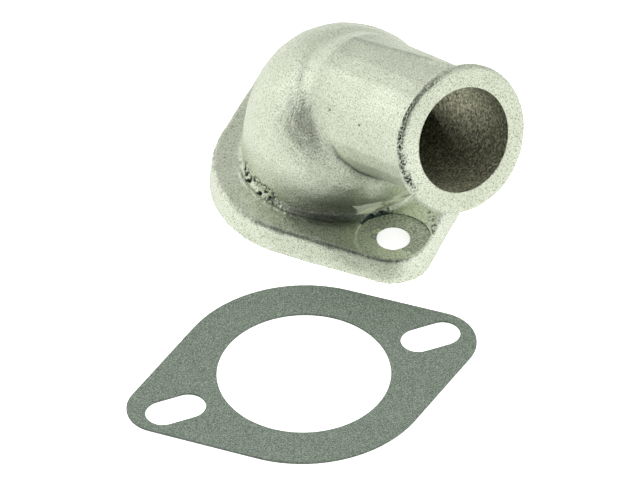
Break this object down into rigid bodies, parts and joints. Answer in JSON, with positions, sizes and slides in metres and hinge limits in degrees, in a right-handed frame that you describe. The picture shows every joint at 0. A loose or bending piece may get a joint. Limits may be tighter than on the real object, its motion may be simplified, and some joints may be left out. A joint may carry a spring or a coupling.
{
  "type": "coolant outlet elbow",
  "caption": "Sand-cast aluminium coolant outlet: a bolted flange, a round dome and a slanted hose neck with a bead, with its paper gasket beside it.",
  "frame": {"origin": "centre of the coolant opening, in the machined flange face", "axes": "+Z out of the flange face through the dome, the bolt holes along Y, the hose neck toward -Y and turned a little toward +X"},
  "size_m": [0.1415, 0.1713, 0.0787],
  "materials": {
    "cast_aluminium": "rough sand cast",
    "gasket_paper": "matte compressed fibre"
  },
  "bodies": {
    "root": {"outlet_casting": "cast_aluminium", "flange_gasket": "gasket_paper"}
  },
  "joints": []
}
